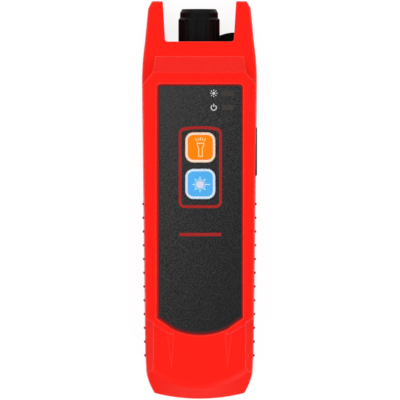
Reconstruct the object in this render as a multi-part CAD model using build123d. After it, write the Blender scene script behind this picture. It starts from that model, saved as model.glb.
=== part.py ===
from build123d import *
import math
import os

os.makedirs("parts", exist_ok=True)

# Handheld fibre fault light. It lies on its back, X is the width, Y is the length with the
# optical port at the +Y end, and Z is the depth with the key face up. Sizes in millimetres.

# Body outline, right half, from the horn tip down to the rounded foot
LENGTH = 145.0
TIP_Y = LENGTH / 2
FOOT_Y = -LENGTH / 2
HORN_TIP_X = 17.35
HORN_CHAMFER = (18.75, TIP_Y - 2.7)
HORN_SIDE = (19.95, TIP_Y - 15.2)
SHOULDER_MID = (20.78, TIP_Y - 23.0)
WIDEST = (21.0, TIP_Y - 31.0)
LOW_SIDE = (19.8, FOOT_Y + 17.0)
FOOT_SIDE = (19.42, FOOT_Y + 9.7)
FOOT_TURN = (18.35, FOOT_Y + 6.0)
FOOT_CORNER = (16.4, FOOT_Y + 2.1)
HORN_ROUND = 0.9
HORN_SOFT = 3.0

# Depths
PARTING_Z = 12.5
FACE_Z = 28.5
HEAD_Z = FACE_Z - 4.5
WALL = 2.4
SKIN = 1.0
DRAFT_FRONT = 1.5
DRAFT_REAR = 2.0
BACK_ROUND = 2.2
FACE_ROUND = 0.6
SCOOP_ROUND = 0.5
INNER_TOP = FACE_Z - WALL

# Raised key face: where its ramp and its cut corners lie
RAMP_TOP_Y = TIP_Y - 26.1
RAMP_FOOT_Y = RAMP_TOP_Y + 5.8
FACE_HALF_X = 16.95
FACE_NECK = (14.5, RAMP_TOP_Y + 13.6)
FACE_FLARE = (30.0, RAMP_TOP_Y - 14.9)

# Rounded foot: a cone that takes the front edge off the lower end
FOOT_CONE_Y = FOOT_Y + 32.9
FOOT_CONE_R = 28.3
FOOT_CONE_DROP = 16.0
FOOT_ROUND = 5.0

# Scooped lower corners: falling floor, sloping outer strip and a tapering flank
SCOOP_END_Y = FOOT_Y + 11.5
SCOOP_FALL = 0.07
STRIP_FALL = 0.8
STRIP_MORE = 0.7
CREASE_X = 16.8
FLANK_TOP = (9.3, FOOT_Y + 23.6)
FLANK_END = (10.2, SCOOP_END_Y)
SCOOP_INNER = (11.7, FOOT_Y + 24.0)
SCOOP_OUTER = (CREASE_X, FOOT_Y + 27.0)
STRIP_START = (CREASE_X, FOOT_Y + 27.8)
STRIP_EDGE = (24.0, FOOT_Y + 31.4)

# Open notch between the two horns
LIP_Y = TIP_Y - 14.83
NOTCH_LIP_X = 12.5
NOTCH_TIP_X = 13.33
NOTCH_ROUND = 1.0
HORN_INNER_ROUND = 0.65

# Side grip ridges
RIDGE_COUNT = 12
RIDGE_FIRST_Y = FOOT_Y + 71.04
RIDGE_PITCH = 5.01
RIDGE_WIDTH = 0.9
RIDGE_RISE = 0.45
RIDGE_GAP = 0.03
RIDGE_LOW_Z = 3.2

# Label recess and the film in it
FACE_X = 0.3
RECESS_X = 0.11
RECESS_DEPTH = 0.6
RECESS_FLOOR = FACE_Z - RECESS_DEPTH
RECESS_BEVEL = 0.42
RECESS_HALF = 15.45
RECESS_TOP_Y = TIP_Y - 30.5
LIGHTS_TOP_Y = RECESS_TOP_Y + 0.6
RECESS_SIDE_Y = FOOT_Y + 29.6
RECESS_KNEE = (9.7, FOOT_Y + 25.6)
RECESS_LOW_Y = FOOT_Y + 23.5
FILM_THICK = 0.3
FILM_GAP = 0.25
CORNER_R = 1.2

# Keys, with a coloured plate set in each
KEY_SIZE = 11.0
KEY_CORNER = 3.0
KEY_TOP_Z = FACE_Z + 0.9
KEY_EDGE = 0.85
KEY_GAP = 0.3
KEY_LIP = 0.9
KEY_LIP_THICK = 0.8
KEY_WALL = 1.3
KEY_ROOF_Z = KEY_TOP_Z - 1.6
KEY_REST_GAP = 0.05
KEY_RIM = 0.95
KEY_PLATE_DEEP = 0.5
PLATE_GAP = 0.02
TORCH_KEY_Y = LIGHTS_TOP_Y - 23.47
LASER_KEY_Y = TORCH_KEY_Y - 13.28

# Red print on the film: a line round the keys and a slim bar below them
RING_HALF_X = 7.35
RING_ABOVE = 7.2
RING_BELOW = 8.25
RING_ARCH = 0.8
RING_CORNER = 1.7
RING_WIDE = 1.05
PRINT_THICK = 0.06
ACCENT_Y = LASER_KEY_Y - 18.4
ACCENT_SIZE = (15.2, 1.2)

# Board, switches and lights
BOARD_Z = FACE_Z - 8.2
BOARD_THICK = 1.6
BOARD_TOP = BOARD_Z + BOARD_THICK
BOARD_HALF_X = 15.4
BOARD_LOW_Y = LASER_KEY_Y - 4.19
BOARD_HIGH_Y = LIGHTS_TOP_Y - 0.6
SWITCH_SIZE = 6.0
SWITCH_TALL = 3.1
SWITCH_FLOOR = 1.2
PLUNGER_R = 1.7
PLUNGER_GAP = 0.3
PLUNGER_TOP = FACE_Z - 2.7
PLUNGER_LENGTH = 1.9
KEY_STEM_R = 2.0
POST_X = 12.6
BOARD_POSTS = (
    (-POST_X, BOARD_HIGH_Y - 3.6),
    (POST_X, BOARD_HIGH_Y - 17.2),
    (-POST_X, BOARD_LOW_Y + 3.0),
    (POST_X, BOARD_LOW_Y + 3.0),
)
POST_R = 2.3
POST_HOLE_R = 0.85
BOARD_HOLE_R = 1.15
BOARD_SCREW_R = 0.8
BOARD_HEAD_R = 1.9
BOARD_HEAD_TALL = 1.3
DOT_Y = LIGHTS_TOP_Y - 13.7
DOTS_X = (-6.1, -1.6, 2.65, 7.9)
DOT_R = 1.0
BARS = ((10.5, LIGHTS_TOP_Y - 3.9), (10.75, LIGHTS_TOP_Y - 9.0))
BAR_SIZE = (4.4, 1.3)
BAR_CORNER = 0.4
LIGHT_GAP = 0.12
LED_HALF = (1.6, 0.8)
LED_TALL = 0.8
GUIDE_X = (-8.0, 14.2)
GUIDE_THICK = 1.2
CHIP_HALF = 3.5
CHIP_X = 5.0
CHIP_Y = BOARD_HIGH_Y - 11.5
CHIP_TALL = 1.1
LEAD_SOCKETS_Y = (BOARD_LOW_Y + 7.4, BOARD_LOW_Y + 16.4, BOARD_LOW_Y + 27.4)
LEAD_SOCKET_X = -10.5

# Case screws
CASE_SCREWS = (
    (14.9, TIP_Y - 27.3),
    (-14.9, TIP_Y - 27.3),
    (14.3, FOOT_Y + 14.1),
    (-14.3, FOOT_Y + 14.1),
)
BOSS_R = 3.0
BOSS_WEB = 0.8
SCREW_R = 1.25
SCREW_HEAD_R = 2.4
SCREW_SEAT_Z = 2.6
SCREW_HEAD_TALL = 1.8
SCREW_END_Z = FACE_Z - 7.5
CROSS_LONG = 2.6
CROSS_WIDE = 0.6
CROSS_DEEP = 1.0

# Optical port on its deck
PORT_X = -0.15
PORT_Z = 12.5
DECK_LOW_Y = TIP_Y - 21.0
DECK_TOP_Y = DECK_LOW_Y + 3.0
RIB_THICK = 1.5
RIB_TALL = 1.2
RIB_GAP = 0.05
BARREL_R = 4.5
BARREL_TOP_Y = TIP_Y - 5.3
BARREL_LOW_Y = DECK_LOW_Y - 5.5
BARREL_LEAD = 0.5
FLANGE_R = 6.5
FLANGE_THICK = 1.2
NUT_FLATS = 12.0
NUT_THICK = 2.5
SLEEVE_R = 1.6
SLEEVE_BORE_R = 1.255
SLEEVE_LOW_Y = DECK_TOP_Y + 0.5
SLEEVE_TOP_Y = BARREL_TOP_Y - 0.8
SLEEVE_FIT = 0.02
LIP_R = 1.42
MOUTH_R = 2.3

# Ribbed dust cap and its strap
CAP_BASE_Y = DECK_TOP_Y + 0.3
CAP_TOP_Y = TIP_Y - 2.9
CAP_R = 7.55
CAP_SKIRT_R = 7.0
CAP_NECK_R = 6.95
CAP_CROWN_R = 6.15
CAP_SHOULDER_Y = CAP_TOP_Y - 3.9
CAP_NECK_Y = CAP_TOP_Y - 3.2
CAP_CROWN_Y = CAP_TOP_Y - 1.4
CAP_EDGE = 0.3
CAP_BORE_R = 4.55
CAP_BORE_TOP_Y = BARREL_TOP_Y + 0.4
GROOVE_LOW_Y = CAP_BASE_Y + 0.7
GROOVE_TOP_Y = CAP_BASE_Y + 2.6
GROOVE_R = 5.9
FLUTE_COUNT = 12
FLUTE_START_DEG = -8.0
FLUTE_R = 0.55
FLUTE_DEPTH = 0.4
STRAP_WIDE = 4.0
STRAP_Z = PORT_Z - 3.2
STRAP_ANCHOR_X = 15.0
STRAP_END_X = 16.6
STRAP_CREST = (12.8, CAP_BASE_Y + 6.3)
STRAP_CLEAR = 0.3
STRAP_ROOT = (5.0, CAP_BASE_Y + 4.3)
STRAP_TAIL_Y = CAP_BASE_Y + 1.6
ANCHOR_R = 1.0
BARB_R = 1.9
BARB_TALL = 1.6

# Charging socket and its side flap
SOCKET_Y = TORCH_KEY_Y - 1.48
SOCKET_Z = BOARD_Z - 1.6
SOCKET_SIZE = (7.3, 8.94, 3.2)
SOCKET_MOUTH_X = 18.1
SOCKET_SKIN = 0.3
OPENING = (10.8, 4.8, 2.3)
PLUG = (9.6, 3.8, 1.8)
PLUG_LONG = 1.3
FLAP_LOW_Y = SOCKET_Y - 8.85
FLAP_HIGH_Y = SOCKET_Y + 8.85
FLAP_TALL = 8.2
FLAP_FLOOR_X = 19.2
FLAP_FACE_X = 20.97
FLAP_GAP = 0.3
FLAP_SEAT = 0.05
FLAP_CORNER = 1.2
FLAP_EDGE = 0.4
PAD_IN_X = 17.2
PAD_RIM = 1.6
TAIL_Y = FLAP_HIGH_Y - 1.95
TAIL_THICK = 0.9
TAIL_WIDE = 5.0
TAIL_GAP = 0.15
TAIL_END_X = 15.9

# Torch lamp
LAMP_X = -11.2
LAMP_R = 2.5
LAMP_RIM_R = 2.9
LAMP_TOP_Y = DECK_TOP_Y + 2.2
LAMP_LEG_Y = DECK_LOW_Y - 3.5
LAMP_LEG_R = 0.3
LAMP_LEG_Z = 1.27

# Laser module
MODULE_R = 6.0
MODULE_LOW_Y = DECK_LOW_Y - 31.5
MODULE_TOP_Y = DECK_LOW_Y - 3.0
TUBE_BORE_R = 4.6
BEAM_R = 0.9
LENS_Y = MODULE_LOW_Y + 16.0
DIODE_Y = MODULE_LOW_Y + 3.0
PIN_LONG = 7.2

# Cell
CELL_R = 9.2
CELL_Z = 11.8
CELL_LOW_Y = FOOT_Y + 6.1
CELL_HIGH_Y = MODULE_LOW_Y - 21.2
CELL_GAP = 0.1
CELL_EDGE = 0.8
FOAM_Y = (CELL_LOW_Y + 16.4, CELL_HIGH_Y - 18.8)
FOAM_HALF_X = 7.5
TAB_THICK = 0.25

# Ribs and supports inside the case
STIFFENER_COUNT = 3
STIFFENER_LOW_Y = RECESS_LOW_Y + 1.0
STIFFENER_PITCH = 18.0
STIFFENER_Z = PARTING_Z + 3.0
STIFFENER_X = 11.4
RIB_HALF = 0.7
CRADLE_HALF = 0.8
CRADLE_X = 11.5
SADDLE_X = 7.5

# Seal cord in the rim of the rear moulding
SEAL_OUT = 0.8
SEAL_IN = 1.6
SEAL_DEEP = 0.9
SEAL_GAP = 0.05


def block(x0, x1, y0, y1, z0, z1):
    middle = Pos((x0 + x1) / 2, (y0 + y1) / 2, (z0 + z1) / 2)
    return middle * Box(abs(x1 - x0), abs(y1 - y0), abs(z1 - z0))


def post(x, y, z0, z1, radius):
    return Pos(x, y, (z0 + z1) / 2) * Cylinder(radius, z1 - z0)


def bar(x, z, y0, y1, radius):
    return Pos(x, (y0 + y1) / 2, z) * Rot(90, 0, 0) * Cylinder(radius, y1 - y0)


def across(y0, y1, z0, z1):
    """A block that spans the whole width."""
    return block(-LENGTH, LENGTH, y0, y1, z0, z1)


def facing_up(face):
    """The same flat face with its normal along +Z."""
    flat = face.faces()[0]
    return -flat if flat.normal_at().Z < 0 else flat


def polygon(points):
    return facing_up(make_face(Polyline(*points, close=True)))


def prism(points, z0, z1):
    return extrude(Pos(0, 0, z0) * polygon(points), amount=z1 - z0)


def both_sides(points):
    return list(points) + [(-x, y) for x, y in reversed(points)]


def above(point, normal):
    """A large block on the outer side of a sloping plane."""
    plane = Plane(origin=point, z_dir=normal)
    return plane * (Pos(0, 0, LENGTH / 2) * Box(2 * LENGTH, 2 * LENGTH, LENGTH))


def turned(points):
    """A round piece about the port axis from (radius, y) points."""
    shape = revolve(polygon(points), axis=Axis.Y)
    return Pos(PORT_X, 0, PORT_Z) * shape


def rounded_square(size, corner):
    return RectangleRounded(size, size, corner)


def side_x(y):
    """Half width of the straight side at a length position."""
    slope = (WIDEST[0] - LOW_SIDE[0]) / (WIDEST[1] - LOW_SIDE[1])
    return WIDEST[0] - slope * (WIDEST[1] - y)


# Body form: the same outline is used for the outer skin and, moved in, for the cavity
def outline(inset):
    rise = FOOT_CORNER[1] - FOOT_Y
    sag_r = (FOOT_CORNER[0] ** 2 + rise**2) / (2 * rise)
    half_x = FOOT_CORNER[0] / 2
    foot_mid = (half_x, FOOT_Y + sag_r - math.sqrt(sag_r**2 - half_x**2))
    half = ThreePointArc((0, FOOT_Y), foot_mid, FOOT_CORNER)
    half += ThreePointArc(FOOT_CORNER, FOOT_TURN, FOOT_SIDE)
    half += Polyline(FOOT_SIDE, LOW_SIDE, WIDEST)
    half += ThreePointArc(WIDEST, SHOULDER_MID, HORN_SIDE)
    half += Polyline(HORN_SIDE, HORN_CHAMFER, (HORN_TIP_X, TIP_Y), (0, TIP_Y))
    face = facing_up(make_face(half + mirror(half, about=Plane.YZ)))
    if inset:
        return facing_up(offset(face, amount=-inset, kind=Kind.INTERSECTION))
    corners = face.vertices().filter_by(lambda v: abs(v.X) > 1 and v.Y > TIP_Y - 0.1)
    face = facing_up(fillet(corners, HORN_ROUND))
    corners = face.vertices().filter_by(
        lambda v: abs(abs(v.X) - HORN_CHAMFER[0]) < 0.1 and abs(v.Y - HORN_CHAMFER[1]) < 0.1
    )
    return facing_up(fillet(corners, HORN_SOFT))


def face_form(inset):
    """Plan of the raised face crossed with its side profile."""
    plan = [FACE_NECK, (FACE_HALF_X, RAMP_TOP_Y), FACE_FLARE, (FACE_FLARE[0], -LENGTH)]
    plan_face = polygon(both_sides(plan))
    if inset:
        plan_face = facing_up(offset(plan_face, amount=-inset, kind=Kind.INTERSECTION))
    plan_form = extrude(plan_face, amount=FACE_Z + WALL)
    angle = math.atan2(FACE_Z - HEAD_Z, RAMP_FOOT_Y - RAMP_TOP_Y)
    shift = inset * math.tan(angle / 2)
    profile = [
        (-LENGTH, 0),
        (-LENGTH, FACE_Z - inset),
        (RAMP_TOP_Y - shift, FACE_Z - inset),
        (RAMP_FOOT_Y - shift, HEAD_Z - inset),
        (RAMP_FOOT_Y - shift, 0),
    ]
    side_form = extrude(Plane.YZ * polygon(profile), amount=LENGTH, both=True)
    return plan_form & side_form


def foot_cut(inset):
    """What the cone leaves outside at the front edge of the foot."""
    radius = FOOT_CONE_R - inset * math.sqrt(2)
    low = FOOT_CONE_DROP
    high = 2 * WALL
    cone = Pos(0, FOOT_CONE_Y, FACE_Z - inset + (high - low) / 2) * Cone(
        radius + inset + low, radius + inset - high, low + high
    )
    low_z = FACE_Z - inset - low
    return across(-LENGTH, FOOT_CONE_Y - CRADLE_X, low_z, FACE_Z + WALL) - cone


def front_form(inset):
    face = Pos(0, 0, PARTING_Z) * outline(inset)
    head = extrude(face, amount=HEAD_Z - inset - PARTING_Z, taper=DRAFT_FRONT)
    tall = extrude(face, amount=FACE_Z - inset - PARTING_Z, taper=DRAFT_FRONT)
    return head + (tall & face_form(inset)) - foot_cut(inset)


def rear_form(inset):
    down = Plane(origin=(0, 0, PARTING_Z), x_dir=(-1, 0, 0), z_dir=(0, 0, -1))
    return extrude(down * outline(inset), amount=PARTING_Z - inset, taper=DRAFT_REAR)


def strip_cut(drop):
    """Above the sloping outer strip beside the lower right corner."""
    plan = [SCOOP_OUTER, STRIP_START, STRIP_EDGE, (STRIP_EDGE[0], -LENGTH), (CREASE_X, -LENGTH)]
    region = prism(plan, PARTING_Z + WALL, FACE_Z + WALL)
    plane_point = (CREASE_X, SCOOP_END_Y, FACE_Z - drop)
    return region & above(plane_point, (STRIP_FALL, SCOOP_FALL, 1))


def corner_cut():
    """The scooped floor, its sloping strip and its flank, right side."""
    plan = [SCOOP_INNER, SCOOP_OUTER, (CREASE_X, SCOOP_END_Y), FLANK_END]
    floor_region = prism(plan, FACE_Z - 2 * WALL, FACE_Z + WALL)
    floor = floor_region & above((0, SCOOP_END_Y, FACE_Z), (0, SCOOP_FALL, 1))
    deep = FACE_Z - SCOOP_FALL * (SCOOP_INNER[1] - SCOOP_END_Y)
    start = Vector(*FLANK_TOP, FACE_Z)
    along = Vector(*FLANK_END, FACE_Z) - start
    sideways = Vector(*SCOOP_INNER, deep) - start
    flank_plan = [FLANK_TOP, SCOOP_INNER, FLANK_END]
    flank_region = prism(flank_plan, FACE_Z - 2 * WALL, FACE_Z + WALL)
    flank = flank_region & above(tuple(start), tuple(along.cross(sideways)))
    return floor + flank + strip_cut(0)


def with_mirror(shape):
    return shape + mirror(shape, about=Plane.YZ)


def notch():
    """The gap between the horns, with rounded corners at the lip and at the horns' tips."""
    bend = HORN_INNER_ROUND * (1 - math.sqrt(0.5))
    start = (NOTCH_TIP_X, TIP_Y - HORN_INNER_ROUND)
    end = (NOTCH_TIP_X + HORN_INNER_ROUND, TIP_Y)
    half = Polyline((0, LIP_Y), (NOTCH_LIP_X, LIP_Y), start)
    half += ThreePointArc(start, (NOTCH_TIP_X + bend, TIP_Y - bend), end)
    half += Polyline(end, (end[0], TIP_Y + 1), (0, TIP_Y + 1))
    face = facing_up(make_face(half + mirror(half, about=Plane.YZ)))
    corners = face.vertices().filter_by(lambda v: abs(v.Y - LIP_Y) < 0.01 and abs(v.X) > 1)
    return extrude(facing_up(fillet(corners, NOTCH_ROUND)), amount=FACE_Z + WALL)


def ridges(z0, z1, lean):
    """Side ridges that lean with the drafted wall."""
    tall = (z1 - z0) / math.cos(math.radians(lean))
    rib = Box(2 * RIDGE_RISE, RIDGE_WIDTH, tall)
    rib = fillet(rib.edges().filter_by(Axis.Z), RIDGE_RISE * 0.7)
    middle = (z0 + z1) / 2
    inward = abs(middle - PARTING_Z) * math.tan(math.radians(abs(lean)))
    found = []
    for i in range(RIDGE_COUNT):
        y = RIDGE_FIRST_Y - RIDGE_PITCH * i
        for side in (-1, 1):
            place = Pos(side * (side_x(y) - inward), y, middle)
            found.append(place * Rot(0, -side * lean, 0) * rib)
    return found


def recess_plan(shrink):
    """Outline of the label field, narrowed by shrink."""
    knee_left = (-RECESS_KNEE[0], RECESS_KNEE[1])
    top_left = (-RECESS_HALF, RECESS_TOP_Y)
    right_side = [(RECESS_HALF, RECESS_TOP_Y), (RECESS_HALF, RECESS_SIDE_Y), RECESS_KNEE]
    line = Polyline(top_left, *right_side)
    line += ThreePointArc(RECESS_KNEE, (0, RECESS_LOW_Y), knee_left)
    line += Polyline(knee_left, (-RECESS_HALF, RECESS_SIDE_Y), top_left)
    face = facing_up(make_face(line))
    face = facing_up(fillet(face.vertices().sort_by(Axis.Y)[-2:], CORNER_R))
    if shrink:
        face = facing_up(offset(face, amount=-shrink, kind=Kind.INTERSECTION))
    return face


def level_edges(shape, z):
    """Edges that lie flat at the height z."""
    return shape.edges().filter_by(
        lambda e: abs(e.center().Z - z) < 0.01 and e.bounding_box().size.Z < 0.01
    )


def is_between(edge, start, end):
    """Whether the edge lies along the line from start to end, on either side of the middle."""
    middle = edge.center()
    along = Vector(*end) - Vector(*start)
    out = Vector(abs(middle.X), middle.Y) - Vector(*start)
    return edge.length > 1 and abs(along.cross(out).Z) < 0.05 * along.length and along.dot(out) > 0


# Front moulding: soft edges all round the raised face and along the head
front_outer = front_form(0)
foot_edge = level_edges(front_outer, FACE_Z).sort_by(Axis.Y)[0]
front_outer = fillet(foot_edge, FOOT_ROUND)
face_edges = level_edges(front_outer, FACE_Z).filter_by(
    lambda e: e.center().Y > SCOOP_END_Y
)
head_edges = level_edges(front_outer, HEAD_Z).filter_by(
    lambda e: abs(e.center().X) > NOTCH_TIP_X and e.length > 8
)
front_outer = fillet(face_edges + head_edges, FACE_ROUND)
front_outer -= with_mirror(corner_cut())
diagonals = [
    edge
    for edge in level_edges(front_outer, FACE_Z)
    for start, end in (
        (SCOOP_INNER, SCOOP_OUTER),
        (SCOOP_INNER, FLANK_TOP),
        (STRIP_START, STRIP_EDGE),
    )
    if is_between(edge, start, end)
]
front_outer = fillet(diagonals, SCOOP_ROUND)
front_cavity = front_form(WALL) - with_mirror(strip_cut(WALL + STRIP_MORE))
front_shell = front_outer - front_cavity


# Ribs that hold the port deck, the same in both halves
def deck_ribs(form):
    ring = form(WALL - 0.2) - form(WALL + RIB_TALL)
    low = across(DECK_LOW_Y - RIB_GAP - RIB_THICK, DECK_LOW_Y - RIB_GAP, 0, LENGTH)
    high = across(DECK_TOP_Y + RIB_GAP, DECK_TOP_Y + RIB_GAP + RIB_THICK, 0, LENGTH)
    return (ring & low) + (ring & high)


def boss(x, y, z0, z1):
    """A screw boss with a web to the side wall."""
    side = math.copysign(1, x)
    column = post(x, y, z0, z1, BOSS_R)
    return column + block(x, side * (side_x(y) - RIB_TALL), y - BOSS_WEB, y + BOSS_WEB, z0, z1)


front_shell += deck_ribs(front_form)

# Screw bosses, board posts and the pad behind the charging flap
for x, y in CASE_SCREWS:
    front_shell += boss(x, y, PARTING_Z, FACE_Z) & front_form(SKIN)
for x, y in BOARD_POSTS:
    front_shell += post(x, y, BOARD_TOP, INNER_TOP + 0.5, POST_R)
flap_z0 = SOCKET_Z - FLAP_TALL / 2
flap_z1 = SOCKET_Z + FLAP_TALL / 2
pad_out_x = side_x(SOCKET_Y) - RIB_TALL
front_shell += block(
    PAD_IN_X, pad_out_x,
    FLAP_LOW_Y - PAD_RIM, FLAP_HIGH_Y + PAD_RIM,
    flap_z0 - RIB_TALL, flap_z1 + PAD_RIM,
)

# Stiffening ribs behind the face, clear of the board and the cell
for i in range(STIFFENER_COUNT):
    y = STIFFENER_LOW_Y + i * STIFFENER_PITCH
    for side in (-1, 1):
        outer_x = side * (side_x(y) - RIB_TALL)
        web = block(side * STIFFENER_X, outer_x, y - RIB_HALF, y + RIB_HALF, STIFFENER_Z, FACE_Z)
        front_shell += web & front_form(SKIN)

# Grip ridges, then the scooped corners and the notch, which cut through what was added
for rib in ridges(PARTING_Z + RIDGE_GAP, HEAD_Z, DRAFT_FRONT):
    front_shell += rib
front_shell -= with_mirror(corner_cut())
front_shell -= notch()

# Bevelled label recess
front_shell -= loft(
    [
        Pos(RECESS_X, 0, RECESS_FLOOR) * recess_plan(0),
        Pos(RECESS_X, 0, FACE_Z) * recess_plan(-RECESS_BEVEL),
    ],
    ruled=True,
)

# Key windows and light windows
key_window = rounded_square(KEY_SIZE + 2 * KEY_GAP, KEY_CORNER + KEY_GAP)
for y in (TORCH_KEY_Y, LASER_KEY_Y):
    front_shell -= extrude(Pos(FACE_X, y, INNER_TOP - 1) * key_window, amount=2 * WALL)
for x in DOTS_X:
    front_shell -= post(x, DOT_Y, INNER_TOP - 1, FACE_Z + 1, DOT_R + LIGHT_GAP)
bar_hole = RectangleRounded(BAR_SIZE[0] + 2 * LIGHT_GAP, BAR_SIZE[1] + 2 * LIGHT_GAP, BAR_CORNER)
for x, y in BARS:
    front_shell -= extrude(Pos(x, y, INNER_TOP - 1) * bar_hole, amount=2 * WALL)

# Holes for the screws
for x, y in CASE_SCREWS:
    front_shell -= post(x, y, PARTING_Z - 1, SCREW_END_Z + 0.3, SCREW_R + 0.05)
for x, y in BOARD_POSTS:
    front_shell -= post(x, y, BOARD_TOP - 1, INNER_TOP, POST_HOLE_R)

# Flap recess in the right side with the socket opening and the slot for the flap's tail
front_shell -= block(
    FLAP_FLOOR_X, FLAP_FLOOR_X + 2 * WALL,
    FLAP_LOW_Y - FLAP_GAP, FLAP_HIGH_Y + FLAP_GAP,
    flap_z0 - FLAP_GAP, flap_z1 + FLAP_GAP,
)
opening = Plane.YZ * Pos(SOCKET_Y, SOCKET_Z, 0) * RectangleRounded(*OPENING)
front_shell -= Pos(PAD_IN_X - 1, 0, 0) * extrude(opening, amount=2 * WALL)
tail_y0 = TAIL_Y - TAIL_THICK / 2
tail_y1 = TAIL_Y + TAIL_THICK / 2
tail_z0 = SOCKET_Z - TAIL_WIDE / 2
tail_z1 = SOCKET_Z + TAIL_WIDE / 2
front_shell -= block(
    PAD_IN_X - 1, FLAP_FLOOR_X + 1,
    tail_y0 - TAIL_GAP, tail_y1 + TAIL_GAP,
    tail_z0 - TAIL_GAP, tail_z1 + TAIL_GAP,
)

# Rear moulding
rear_outer = rear_form(0)
rear_outer = fillet(rear_outer.faces().sort_by(Axis.Z)[0].edges(), BACK_ROUND)
rear_shell = rear_outer - rear_form(WALL)
rear_shell += deck_ribs(rear_form)
for x, y in CASE_SCREWS:
    rear_shell += boss(x, y, SKIN, PARTING_Z) & rear_form(SKIN)
    rear_shell += post(x, y, SKIN / 2, WALL, BOSS_R)

# Cradle ribs for the cell, its end stops and the saddles for the laser module
cell_middle = (CELL_LOW_Y + CELL_HIGH_Y) / 2
for y in (CELL_LOW_Y + 8.4, cell_middle, CELL_HIGH_Y - 8.8):
    cradle = block(
        -CRADLE_X, CRADLE_X, y - CRADLE_HALF, y + CRADLE_HALF, WALL - 0.2, CELL_Z - 2.5
    )
    rear_shell += cradle - bar(0, CELL_Z, y - 2, y + 2, CELL_R + CELL_GAP)
for y in (CELL_LOW_Y - 1.3, CELL_HIGH_Y + 1.3):
    rear_shell += block(-7, 7, y - RIB_HALF, y + RIB_HALF, WALL - 0.2, CELL_Z + 1)
for y in (MODULE_LOW_Y + 5.0, MODULE_TOP_Y - 5.5):
    saddle = block(
        -SADDLE_X, SADDLE_X, y - CRADLE_HALF, y + CRADLE_HALF, WALL - 0.2, PORT_Z - 1.5
    )
    rear_shell += saddle - bar(PORT_X, PORT_Z, y - 2, y + 2, MODULE_R + CELL_GAP)

for rib in ridges(RIDGE_LOW_Z, PARTING_Z - RIDGE_GAP, -DRAFT_REAR):
    rear_shell += rib
rear_shell -= notch()
for x, y in CASE_SCREWS:
    rear_shell -= post(x, y, -1, PARTING_Z + 1, SCREW_R + 0.15)
    rear_shell -= post(x, y, -1, SCREW_SEAT_Z, SCREW_HEAD_R + 0.25)


# Seal cord in a groove round the rim, from deck to deck round the foot
def seal_ring(grow, z0, z1):
    ring = outline(SEAL_OUT - grow) - outline(SEAL_IN + grow)
    below_deck = across(-LENGTH, DECK_LOW_Y - 2 + grow, z0, z1)
    return extrude(Pos(0, 0, z0) * ring, amount=z1 - z0) & below_deck


rear_shell -= seal_ring(SEAL_GAP, PARTING_Z - SEAL_DEEP, PARTING_Z + 0.5)
case_seal = seal_ring(0, PARTING_Z - SEAL_DEEP + SEAL_GAP, PARTING_Z)

# Case screws with a cross recess
case_screws = []
for x, y in CASE_SCREWS:
    head_z = SCREW_SEAT_Z - SCREW_HEAD_TALL
    screw = post(x, y, head_z, SCREW_SEAT_Z, SCREW_HEAD_R)
    screw = fillet(screw.edges().sort_by(Axis.Z)[0], 0.7)
    screw += post(x, y, SCREW_SEAT_Z, SCREW_END_Z, SCREW_R)
    for wide, tall in ((CROSS_LONG, CROSS_WIDE), (CROSS_WIDE, CROSS_LONG)):
        screw -= Pos(x, y, head_z) * Box(wide, tall, 2 * CROSS_DEEP)
    case_screws.append(screw)

# Film over the label recess
film_plan = Pos(FACE_X, 0, RECESS_FLOOR) * recess_plan(FILM_GAP)
panel_film = extrude(film_plan, amount=FILM_THICK)
for y in (TORCH_KEY_Y, LASER_KEY_Y):
    panel_film -= extrude(Pos(FACE_X, y, RECESS_FLOOR - 1) * key_window, amount=WALL)


# Red print on the film: a line round both keys, arched at its top, and a slim bar
def ring_plan(grow):
    half = RING_HALF_X + grow
    low = LASER_KEY_Y - RING_BELOW - grow
    crest = TORCH_KEY_Y + RING_ABOVE + grow
    shoulder = crest - RING_ARCH
    line = Polyline((-half, shoulder), (-half, low), (half, low), (half, shoulder))
    line += ThreePointArc((half, shoulder), (0, crest), (-half, shoulder))
    face = facing_up(make_face(line))
    return facing_up(fillet(face.vertices(), RING_CORNER + grow))


print_z = RECESS_FLOOR + FILM_THICK
ring = ring_plan(RING_WIDE / 2) - ring_plan(-RING_WIDE / 2)
ring_line = extrude(Pos(FACE_X, 0, print_z) * ring, amount=PRINT_THICK)
accent = Pos(FACE_X, ACCENT_Y, print_z) * Rectangle(*ACCENT_SIZE)
red_print = [ring_line, extrude(accent, amount=PRINT_THICK)]


# Keys: hollow caps with a lip behind the wall, a stem onto the switch and an inlaid plate
def key(y):
    lip_top = INNER_TOP - KEY_REST_GAP
    lip_low = lip_top - KEY_LIP_THICK
    cap = Pos(FACE_X, y, lip_low) * rounded_square(KEY_SIZE, KEY_CORNER)
    body = extrude(cap, amount=KEY_TOP_Z - lip_low)
    body = fillet(body.faces().sort_by(Axis.Z)[-1].edges(), KEY_EDGE)
    lip = rounded_square(KEY_SIZE + 2 * KEY_LIP, KEY_CORNER + KEY_LIP)
    body += extrude(Pos(FACE_X, y, lip_low) * lip, amount=KEY_LIP_THICK)
    hollow = rounded_square(KEY_SIZE - 2 * KEY_WALL, KEY_CORNER - KEY_WALL)
    body -= extrude(Pos(FACE_X, y, lip_low - 1) * hollow, amount=KEY_ROOF_Z - lip_low + 1)
    body -= key_plate(y, 0, 1)
    return body + post(FACE_X, y, PLUNGER_TOP, KEY_ROOF_Z + 0.3, KEY_STEM_R)


def key_plate(y, shrink, above_top):
    size = KEY_SIZE - 2 * KEY_RIM - 2 * shrink
    plan = rounded_square(size, KEY_CORNER - KEY_RIM - shrink)
    low = KEY_TOP_Z - KEY_PLATE_DEEP
    return extrude(Pos(FACE_X, y, low) * plan, amount=KEY_PLATE_DEEP + above_top)


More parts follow.
